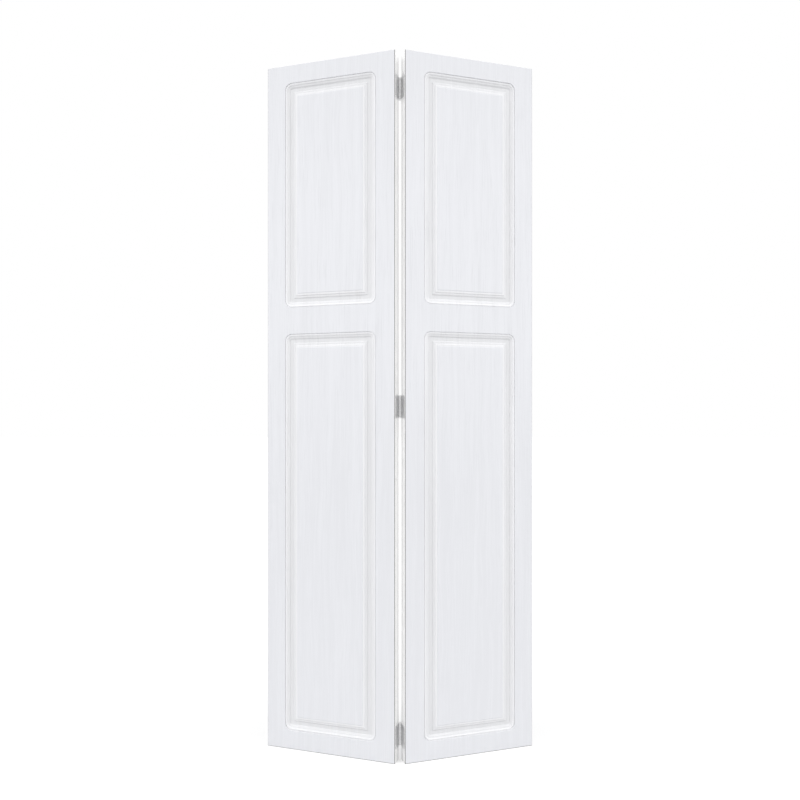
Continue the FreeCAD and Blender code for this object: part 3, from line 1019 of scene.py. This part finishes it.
@dataclass
class Skin:
    """A moulded skin in its own frame: its face lies at y 0 and looks along -y."""

    side: Side
    face: Face
    finishes: Finishes
    moulding: Moulding = Moulding()
    stile_face: float = 0.0563
    top_rail_face: float = 0.052
    upper_height: float = 0.6595
    mid_rail_face: float = 0.0775
    bottom_rail_face: float = 0.0545
    arris: float = 0.0012
    head_arris: float = 0.001
    foot_arris: float = 0.0022
    arris_steps: int = 4
    collar: float = 0.008
    corner_steps: int = 14
    # How far round the rounded arrises of the long edges and the foot the dark board colour reaches:
    # painted shade lines.
    bare_slope: float = -0.1
    arris_shade_side_slope: float = -0.9
    arris_shade_foot_slope: float = -0.96
    painted_slope: float = 0.9

    def __post_init__(self) -> None:
        """Reads the skin's place and outline from its node."""
        self.node = f"{self.side.word}_{self.face.word}_skin"
        low, high = FOLD.box(self.side, self.node)
        self.half_width = (high.x - low.x) / 2
        self.height = high.z
        upper_low = self.height - self.top_rail_face - self.upper_height
        self.panels = (
            Panel(self.bottom_rail_face, upper_low - self.mid_rail_face),
            Panel(upper_low, upper_low + self.upper_height),
        )
        outside = low.y if self.face is Face.FRONT else high.y
        middle = Matrix.Translation(((low.x + high.x) / 2, outside, 0))
        self.place = FOLD.leaf(self.side) @ middle @ Matrix.Rotation(self.face.value, 4, "Z")

    def panel_ring(self, shell: Shell, panel: Panel, run: float, depth: float, rounded: bool) -> Ring:
        """Adds the ring at one place of a panel's moulding.

        Args:
            shell: The mesh in the making.
            panel: The panel.
            run: Distance of the ring from the moulding's outer edge.
            depth: Its depth below the face.
            rounded: Whether its corners follow the cutter's radius.

        Returns:
            The ring, one group of points for each corner.
        """
        half, middle = self.half_width - self.stile_face - run, (panel.low + panel.high) / 2
        radius = self.moulding.half - run if rounded else 0.0
        groups = []
        for index, (x, z) in enumerate(corners((-half, panel.low + run), (half, panel.high - run))):
            if radius <= self.moulding.softening:
                groups.append([Vector((x, depth, z))])
                continue
            centre_x = x - math.copysign(radius, x)
            centre_z = z - math.copysign(radius, z - middle)
            turns = quarter_circle(2 + index, self.corner_steps)
            groups.append([
                Vector((centre_x + radius * math.cos(turn), depth, centre_z + radius * math.sin(turn)))
                for turn in turns
            ])
        return shell.ring(groups)

    def grid(self, shell: Shell, inset: Triple, depth: float) -> list[list[int]]:
        """Adds the flat face round the panels.

        Args:
            shell: The mesh in the making.
            inset: How far the face stops short of the outline, sideways, at its foot
                and at its head.
            depth: Its depth.

        Returns:
            The point numbers, by column and row.
        """
        aside, foot, head = inset
        edge = self.half_width - self.stile_face + self.collar
        outer = self.half_width - aside
        rows = [foot]
        for panel in self.panels:
            rows += [panel.low - self.collar, panel.high + self.collar]
        rows.append(self.height - head)
        grid = [[shell.add(Vector((x, depth, z))) for z in rows] for x in (-outer, -edge, edge, outer)]
        for column, (near, far) in enumerate(zip(grid, grid[1:])):
            for row in range(len(rows) - 1):
                if column == 1 and row % 2 == 1:
                    continue
                shell.faces.append((near[row], far[row], far[row + 1], near[row + 1]))
        return grid

    @staticmethod
    def rim(grid: list[list[int]]) -> list[tuple[int, int, int]]:
        """The outline of a grid.

        Args:
            grid: Point numbers by column and row.

        Returns:
            Each point's number, with the way out of the grid, sideways and endways.
        """
        last, top = len(grid) - 1, len(grid[0]) - 1
        walk = [(column, 0) for column in range(last)]
        walk += [(last, row) for row in range(top)]
        walk += [(column, top) for column in range(last, 0, -1)]
        walk += [(0, row) for row in range(top, 0, -1)]
        return [
            (grid[column][row], (column == last) - (column == 0), (row == top) - (row == 0))
            for column, row in walk
        ]

    def mesh(self) -> Mesh:
        """Builds the skin.

        Returns:
            Its closed mesh.
        """
        shell = Shell()
        front = self.grid(shell, (self.arris, self.foot_arris, self.head_arris), 0.0)
        back = self.grid(shell, (0.0, 0.0, 0.0), self.moulding.wall)
        rim = self.rim(front)
        band: Ring = [[number] for number, _, _ in rim]
        for step in range(1, self.arris_steps + 1):
            turn = QUARTER_TURN * step / self.arris_steps
            out, depth = math.sin(turn), self.arris * (1 - math.cos(turn))
            points = []
            for number, sideways, endways in rim:
                x, _, z = shell.points[number]
                arris = self.head_arris if endways > 0 else self.foot_arris
                aside, along = sideways * self.arris * out, endways * arris * out
                points.append(Vector((x + aside, depth, z + along)))
            wider = shell.loop(points)
            shell.stitch(band, wider)
            band = wider
        shell.stitch(band, [[number] for number, _, _ in self.rim(back)])
        for index, panel in enumerate(self.panels):
            row = 2 * index + 1
            for grid, outline, rounded in (
                (front, self.moulding.profile(), True),
                (back, self.moulding.backing(), False),
            ):
                ring: Ring = [[grid[1][row]], [grid[2][row]], [grid[2][row + 1]], [grid[1][row + 1]]]
                for run, depth in outline:
                    inner = self.panel_ring(shell, panel, run, depth, rounded)
                    shell.stitch(ring, inner)
                    ring = inner
                shell.cap(ring)
        return shell.mesh(self.node)

    def coat(self, polygon: bpy.types.MeshPolygon) -> Coat:
        """The material of one face.

        Args:
            polygon: The face.

        Returns:
            The lighter inner paint, painted light, on the back skin's long edge beside the
            hinges; the dark board colour on the other sawn edges and the inside, and as
            painted shade on the rounded arrises of the long edges and the foot; and foil
            elsewhere, with painted light in the moulding.
        """
        middle, normal = polygon.center, polygon.normal
        board_or_arris_shade_slope = self.bare_slope
        # Painted shade: near the long edges and the foot the dark board colour reaches round the
        # foil's rounded arrises.
        if abs(middle.x) > self.half_width - self.arris:
            board_or_arris_shade_slope = self.arris_shade_side_slope
        elif middle.z < self.foot_arris:
            board_or_arris_shade_slope = self.arris_shade_foot_slope
        if self.face is Face.BACK and normal.x * self.side.value > self.painted_slope:
            return Coat.PAINT
        if normal.y > board_or_arris_shade_slope:
            return Coat.BARE_BOARD
        return Coat.SUNK_FOIL if middle.y > self.arris else Coat.FOIL

    def build(self) -> None:
        """Makes the skin's piece, with a stretch of grain of its own."""
        mesh = self.mesh()
        for polygon in mesh.polygons:
            polygon.material_index = self.coat(polygon).value
        Bench.piece(
            f"{self.node}_foil", mesh, self.place, self.side, self.finishes.skin, "white_skin",
            [self.node], pattern_shift=self.side.value + self.face.value,
        )


@dataclass
class Frame:
    """The timbers between a leaf's skins."""

    side: Side
    finishes: Finishes
    ease: float = 0.0004
    ease_steps: int = 2
    ease_roundness: float = 0.5
    painted_slope: float = 0.6
    bore_radius: float = 0.00475
    bore_depth: float = 0.038
    bore_inset: float = 0.022
    bore_mouth: float = 0.0006
    drill_tip_width: float = 0.35
    drill_tip_length: float = 0.3
    segments: int = 48

    def timber(self, name: str) -> Mesh:
        """One timber as a bar with eased edges.

        Args:
            name: The timber's name within its leaf.

        Returns:
            Its mesh.
        """
        low, high = FOLD.box(self.side, f"{self.side.word}_{name}")
        work = bmesh.new()
        bmesh.ops.create_cube(work, size=1.0)
        for vertex in work.verts:
            vertex.co = [low[axis] if vertex.co[axis] < 0 else high[axis] for axis in range(3)]
        bmesh.ops.bevel(
            work, geom=list(work.edges), offset=self.ease, segments=self.ease_steps,
            profile=self.ease_roundness, affect="EDGES",
        )
        mesh = bpy.data.meshes.new(name)
        work.to_mesh(mesh)
        work.free()
        return mesh

    def bored(self, mesh: Mesh, up: bool) -> Mesh:
        """Bores an end of the outer stile for a pivot or guide.

        Args:
            mesh: The stile.
            up: Whether its upper end is bored.

        Returns:
            The bored stile.
        """
        low, high = FOLD.box(self.side, f"{self.side.word}_outer_stile")
        outer = high.x if self.side is Side.RIGHT else low.x
        radius, mouth = self.bore_radius, self.bore_mouth
        drill = turned(
            [
                (radius * self.drill_tip_width, -self.bore_depth),
                (radius, -self.bore_depth + radius * self.drill_tip_length),
                (radius, -mouth),
                (radius + 2 * mouth, mouth),
            ],
            self.segments,
            "drill",
        )
        flip = Matrix.Identity(4) if up else Matrix.Rotation(math.pi, 4, "X")
        along = outer - self.side.value * self.bore_inset
        level = high.z if up else low.z
        drill.transform(Matrix.Translation((along, (low.y + high.y) / 2, level)) @ flip)
        return Bench.carved(mesh, [("DIFFERENCE", drill)])

    def painted(self, mesh: Mesh, outward: int) -> Mesh:
        """Gives a stile's faces that look out of the leaf the second material.

        Args:
            mesh: The stile.
            outward: The way out along x, -1 or 1.

        Returns:
            The same mesh.
        """
        for polygon in mesh.polygons:
            if polygon.normal.x * outward > self.painted_slope:
                polygon.material_index = SECOND
        return mesh

    def build(self) -> None:
        """Makes the timbers' pieces."""
        out = self.side.value
        outer_stile = self.bored(self.timber("outer_stile"), True)
        if self.side is Side.LEFT:
            outer_stile = self.bored(outer_stile, False)
        pieces = [
            ("hinge_stile", self.painted(self.timber("hinge_stile"), -out), self.finishes.hinge_stile),
            ("outer_stile", self.painted(outer_stile, out), self.finishes.outer_stile),
        ]
        for rail in ("top_rail", "mid_rail", "bottom_rail"):
            pieces.append((rail, self.timber(rail), self.finishes.rail))
        for name, mesh, finishes in pieces:
            node = f"{self.side.word}_{name}"
            Bench.piece(
                f"{node}_timber", mesh, FOLD.leaf(self.side), self.side, finishes,
                "frame_timber", [node],
            )


@dataclass
class Cores:
    """The card cores of one leaf, which stay as they are in the frame."""

    side: Side
    finishes: Finishes

    def build(self) -> None:
        """Gives both cores their finish."""
        for panel in ("upper", "lower"):
            core = frame["nodes"][f"{self.side.word}_{panel}_core"]
            core.data.materials.clear()
            core.data.materials.append(self.finishes.core)
            LOG.info("%s: dressed as card", core.name)


@dataclass
class Screws:
    """The countersunk cross-head screws of one leaf's hinge plates."""

    side: Side
    finishes: Finishes
    head_radius: float = 0.0033
    head_depth: float = 0.002
    land: float = 0.00015
    throat: float = 0.0013
    core_radius: float = 0.0011
    crest_radius: float = 0.0015
    crest_narrowing: float = 3.2
    length: float = 0.018
    neck: float = 0.0035
    tip: float = 0.003
    tip_share: float = 0.12
    pitch: float = 0.0013
    pitch_steps: int = 4
    segments: int = 16
    recess_reach: float = 0.0019
    recess_width: float = 0.0009
    recess_depth: float = 0.0016
    recess_over: float = 0.0002
    recess_mouth_share: float = 1.1
    recess_foot_share: float = 0.45
    recess_turn: float = math.radians(20)
    spacing: float = 0.022
    near_reach: float = 0.0165
    far_reach: float = 0.0255
    sink: float = 0.00005
    number_spin: float = math.radians(31)
    name_spin: float = math.radians(17)

    @property
    def spots(self) -> list[Point]:
        """Reach from the pin and rise from the plate's middle, for each screw of a plate."""
        near, far, rise = self.near_reach, self.far_reach, self.spacing
        return [(near, rise), (far, 0.0), (near, -rise)]

    def shank(self) -> Mesh:
        """The head, the neck and the threaded shank, with the head's face at z 0.

        Returns:
            The mesh of a screw without its recess.
        """
        shell = Shell()
        turns = full_circle(self.segments)
        places = [
            (self.head_radius - self.land, 0.0),
            (self.head_radius, -self.land),
            (self.throat, -self.head_depth),
            (self.throat, -self.neck),
        ]
        rings = [shell.loop([around(turn, *place) for turn in turns]) for place in places]
        rise = self.pitch / self.pitch_steps
        for step in range(int((self.length - self.neck) / rise) + 1):
            depth = self.neck + rise * step
            points = [around(turn, self.thread_radius(turn, depth), -depth) for turn in turns]
            rings.append(shell.loop(points))
        shell.loft(rings)
        return shell.mesh("screw")

    def thread_radius(self, turn: float, depth: float) -> float:
        """Radius of the threaded shank.

        Args:
            turn: Angle about the screw's axis.
            depth: Depth below the head's face.

        Returns:
            The radius, which winds up and down with the thread and tapers at the tip.
        """
        phase = (turn / math.tau + depth / self.pitch) % 1.0
        crest = max(0.0, 1 - self.crest_narrowing * abs(phase - 0.5))
        start = min(1.0, (depth - self.neck) / self.pitch)
        taper = self.tip_share + (1 - self.tip_share) * (self.length - depth) / self.tip
        height = (self.crest_radius - self.core_radius) * crest * start
        return min(1.0, taper) * (self.core_radius + height)

    def blade(self, turn: float) -> Mesh:
        """One wing of the driver that the head's recess is cut with.

        Args:
            turn: Angle of the wing about the screw's axis.

        Returns:
            The wing's mesh.
        """
        shell = Shell()
        rings = []
        for level, share in (
            (self.recess_over, self.recess_mouth_share),
            (-self.recess_depth, self.recess_foot_share),
        ):
            x, y = self.recess_reach * share, self.recess_width / 2 * share
            spots = corners((-x, -y), (x, y))
            rings.append(shell.loop([Vector((*spot, level)) for spot in spots]))
        shell.loft(rings)
        mesh = shell.mesh("driver")
        mesh.transform(Matrix.Rotation(turn, 4, "Z"))
        return mesh

    def build(self) -> None:
        """Makes one piece of all the leaf's screws."""
        wings = [self.blade(QUARTER_TURN * wing + self.recess_turn) for wing in range(2)]
        screw = Bench.carved(self.shank(), [("DIFFERENCE", wing) for wing in wings])
        side = self.side.value
        face = side * (HINGE_SEAT - self.head_depth + self.sink)
        aim = Matrix.Rotation(-side * QUARTER_TURN, 4, "Y")
        group = bmesh.new()
        for hinge in HINGES:
            low, high = FOLD.box(self.side, f"{hinge}_{self.side.word}_plate")
            level = (low.z + high.z) / 2
            for number, (reach, rise) in enumerate(self.spots):
                spin = self.number_spin * number + self.name_spin * len(hinge)
                place = Matrix.Translation((face, -reach, level + rise))
                copy = screw.copy()
                copy.transform(place @ aim @ Matrix.Rotation(spin, 4, "Z"))
                group.from_mesh(copy)
                bpy.data.meshes.remove(copy)
        mesh = bpy.data.meshes.new("screws")
        group.to_mesh(mesh)
        group.free()
        bpy.data.meshes.remove(screw)
        node = f"{self.side.word}_hinge_screws"
        Bench.piece(
            f"{node}_steel", mesh, FOLD.leaf(self.side), self.side, self.finishes.screw,
            "screw_steel", [node],
        )


@dataclass
class Hinge:
    """A butt hinge: two plates with rolled knuckles, and their pin."""

    name: str
    finishes: Finishes
    thickness: float = 0.002
    root: float = 0.0039
    barrel_radius: float = 0.0035
    bore_radius: float = 0.0018
    pin_radius: float = 0.00175
    pin_dome: float = 0.0009
    pin_end: float = 0.00005
    dome_steps: int = 6
    knuckles: int = 3
    knuckle_gap: float = 0.0002
    seam_turn: float = math.radians(343)
    seam_depth: float = 0.0005
    corner: float = 0.0025
    corner_steps: int = 8
    ease: float = 0.00025
    hole_radius: float = 0.0034
    hole_throat: float = 0.0016
    hole_over: float = 0.0002
    segments: int = 64

    def eased(self, low: float, high: float) -> list[Point]:
        """Places and insets of the four rings that give a block eased edges."""
        return [(low, self.ease), (low + self.ease, 0.0), (high - self.ease, 0.0), (high, self.ease)]

    def sheet(self, low: Vector, high: Vector) -> Mesh:
        """The flat sheet of a plate, in the frame of a plate that lies at positive x.

        Args:
            low: The plate's lowest corner.
            high: Its highest corner.

        Returns:
            The sheet, with rounded free corners and eased edges.
        """
        shell = Shell()
        rings = []
        for x, inset in self.eased(HINGE_SEAT - self.thickness, HINGE_SEAT):
            root, down, up = -self.root - inset, low.z + inset, high.z - inset
            radius = self.corner - inset
            centre_y = low.y + inset + radius
            groups = [[Vector((x, root, down))], [Vector((x, root, up))]]
            for centre_z, first in ((up - radius, 0), (down + radius, 1)):
                turns = quarter_circle(first, self.corner_steps)
                groups.append([
                    Vector((x, centre_y - radius * math.sin(turn), centre_z + radius * math.cos(turn)))
                    for turn in turns
                ])
            rings.append(shell.ring(groups))
        shell.loft(rings)
        return shell.mesh("sheet")

    def outline(self, turn: float, shrink: float) -> Point:
        """A point of a knuckle's outer section, where it runs into its sheet.

        Args:
            turn: Angle about the pin, from the sheet's side.
            shrink: How much the section is drawn in.

        Returns:
            Its x and y.
        """
        x, y = math.sin(turn), -math.cos(turn)
        reach = self.barrel_radius
        if abs(turn - self.seam_turn) < math.pi / self.segments:
            reach -= self.seam_depth
        if x > 0 and y < 0:
            inside = min(HINGE_SEAT / x, (self.root + 2 * self.ease) / -y)
            near_face = (HINGE_SEAT - self.thickness) / x
            if inside > reach and near_face < inside:
                reach = inside
        return x * (reach - shrink), y * (reach - shrink)

    def knuckle(self, low: float, high: float) -> Mesh:
        """One rolled knuckle.

        Args:
            low: Level of its lower end.
            high: Level of its upper end.

        Returns:
            The knuckle's mesh.
        """
        shell = Shell()
        turns = full_circle(self.segments)
        bands = [
            shell.loop([Vector((*self.outline(turn, shrink), level)) for turn in turns])
            for level, shrink in self.eased(low, high)
        ]
        for level in (high, low):
            spots = [(math.sin(turn), -math.cos(turn)) for turn in turns]
            bands.append(shell.loop([
                Vector((self.bore_radius * x, self.bore_radius * y, level)) for x, y in spots
            ]))
        for near, far in zip(bands, bands[1:] + bands[:1]):
            shell.stitch(near, far)
        return shell.mesh("knuckle")

    def countersink(self, reach: float, level: float) -> Mesh:
        """The cutter of one screw hole.

        Args:
            reach: Distance of the hole from the pin.
            level: Its level.

        Returns:
            The cutter's mesh.
        """
        over = self.hole_over
        slope = (self.hole_radius - self.hole_throat) / self.thickness
        profile = [
            (self.hole_throat - slope * over, -self.thickness - over),
            (self.hole_radius + slope * over, over),
        ]
        cone = turned(profile, self.segments // 2, "countersink")
        aim = Matrix.Rotation(-QUARTER_TURN, 4, "Y")
        cone.transform(Matrix.Translation((HINGE_SEAT - self.thickness, -reach, level)) @ aim)
        return cone

    def plate(self, side: Side, first_knuckle: int, spots: list[Point]) -> None:
        """Makes one plate's piece.

        Args:
            side: The leaf that the plate is screwed to.
            first_knuckle: Number of its lowest knuckle.
            spots: Reach and rise of each of its screws.
        """
        node = f"{self.name}_{side.word}_plate"
        low, high = FOLD.box(side, node)
        pitch = (high.z - low.z) / self.knuckles
        level = (low.z + high.z) / 2
        tools = []
        for number in range(first_knuckle, self.knuckles, 2):
            start = low.z + pitch * number + self.knuckle_gap / 2
            tools.append(("UNION", self.knuckle(start, start + pitch - self.knuckle_gap)))
        tools += [("DIFFERENCE", self.countersink(reach, level + rise)) for reach, rise in spots]
        mesh = Bench.carved(self.sheet(low, high), tools)
        if side is Side.LEFT:
            mesh.transform(Matrix.Scale(-1, 4, (1, 0, 0)))
            mesh.flip_normals()
        # The knuckles take the lighter plating: painted highlight.
        for polygon in mesh.polygons:
            if polygon.center.xy.length < self.barrel_radius + self.ease:
                polygon.material_index = SECOND
        Bench.piece(
            f"{node}_steel", mesh, FOLD.leaf(side), side, self.finishes.plate, "hinge_steel", [node]
        )

    def pin(self) -> None:
        """Makes the pin's piece, with a dome on each end."""
        node = f"{self.name}_pin"
        low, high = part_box(node)
        straight = (high.z - low.z) / 2 - self.pin_dome
        dome = []
        for turn in quarter_circle(0, self.dome_steps):
            radius = max(self.pin_radius * math.cos(turn), self.pin_end)
            dome.append((radius, straight + self.pin_dome * math.sin(turn)))
        profile = [(radius, -level) for radius, level in reversed(dome)] + dome
        mesh = turned(profile, self.segments // 2, "pin")
        place = Matrix.Translation(FOLD.pin + Vector((0, 0, (low.z + high.z) / 2)))
        Bench.piece(f"{node}_steel", mesh, place, Side.LEFT, self.finishes.pin, "pin_steel", [node])

    def build(self, screws: dict[Side, Screws]) -> None:
        """Makes both plates and the pin.

        Args:
            screws: The screws of each leaf.
        """
        for first_knuckle, side in enumerate(Side):
            self.plate(side, first_knuckle, screws[side].spots)
        self.pin()


@dataclass
class Studio:
    """The floor, the lamps, the world and the camera."""

    floor_half: float = 30.0
    floor_shade: float = 0.6
    floor_glow: float = 0.41
    world_level: float = 0.77
    lamp_level: float = 1.285
    lamp_spread: float = math.radians(35)
    lamp_azimuth: float = math.radians(62)
    lamp_height: float = math.radians(36)
    eye: Triple = (0.0, -2.3117, 0.985)
    lens: float = 35.78
    sensor: float = 36.0
    rise: float = 0.01675

    def make_floor(self) -> None:
        """Makes the pale floor that takes the door's shadow."""
        half = self.floor_half
        spots = corners((-half, -half), (half, half))
        shell = Shell()
        shell.cap(shell.loop([Vector((*spot, 0)) for spot in spots]))
        floor = Bench.put("floor", shell.mesh("floor"))
        material = bpy.data.materials.new("pale_floor")
        material.use_nodes = True
        web = NodeWeb(material.node_tree)
        matt = web.add("BsdfDiffuse", Color=(*(self.floor_shade,) * 3, 1.0))
        glow = web.add("Emission", Strength=web.reckon("MULTIPLY", web.seen(), self.floor_glow))
        both = web.add("AddShader", matt.outputs["BSDF"], glow.outputs["Emission"])
        web.add("OutputMaterial", Surface=both.outputs["Shader"])
        floor.data.materials.append(material)

    def make_world(self) -> None:
        """Makes the white surroundings, plain white where they are seen."""
        world = bpy.data.worlds.new("studio")
        bpy.context.scene.world = world
        world.use_nodes = True
        web = NodeWeb(world.node_tree)
        light = web.add("Background", Color=WHITE, Strength=self.world_level).outputs["Background"]
        white = web.add("Background", Color=WHITE).outputs["Background"]
        mix = web.add("MixShader", web.seen(), light, white)
        web.add("OutputWorld", Surface=mix.outputs["Shader"])

    def make_lamps(self) -> None:
        """Makes two far soft lamps, high before the door to its left and right."""
        for side in Side:
            lamp = bpy.data.lights.new(f"{side.word}_lamp", "SUN")
            lamp.energy = self.lamp_level
            lamp.angle = self.lamp_spread
            item = Bench.put(lamp.name, lamp)
            azimuth = side.value * self.lamp_azimuth
            item.rotation_euler = (QUARTER_TURN - self.lamp_height, 0.0, azimuth)

    def make_camera(self) -> None:
        """Makes the camera, level and straight before the hinges."""
        data = bpy.data.cameras.new("camera")
        data.lens = self.lens
        data.sensor_width = self.sensor
        data.shift_y = self.rise
        camera = Bench.put("camera", data)
        camera.location = self.eye
        camera.rotation_euler = (QUARTER_TURN, 0.0, 0.0)
        bpy.context.scene.camera = camera

    def build(self) -> None:
        """Makes the whole studio."""
        self.make_floor()
        self.make_world()
        self.make_lamps()
        self.make_camera()
        bpy.context.scene.view_settings.view_transform = "Standard"


def main() -> None:
    """Builds and dresses the whole door, piece by piece."""
    logging.basicConfig(level=logging.INFO, format="%(message)s")
    finishes = Finishes()
    for side in Side:
        for face in Face:
            Skin(side, face, finishes).build()
        Frame(side, finishes).build()
        Cores(side, finishes).build()
    screws = {side: Screws(side, finishes) for side in Side}
    for row in screws.values():
        row.build()
    for name in HINGES:
        Hinge(name, finishes).build(screws)
    Studio().build()


if __name__ == "__main__":
    main()
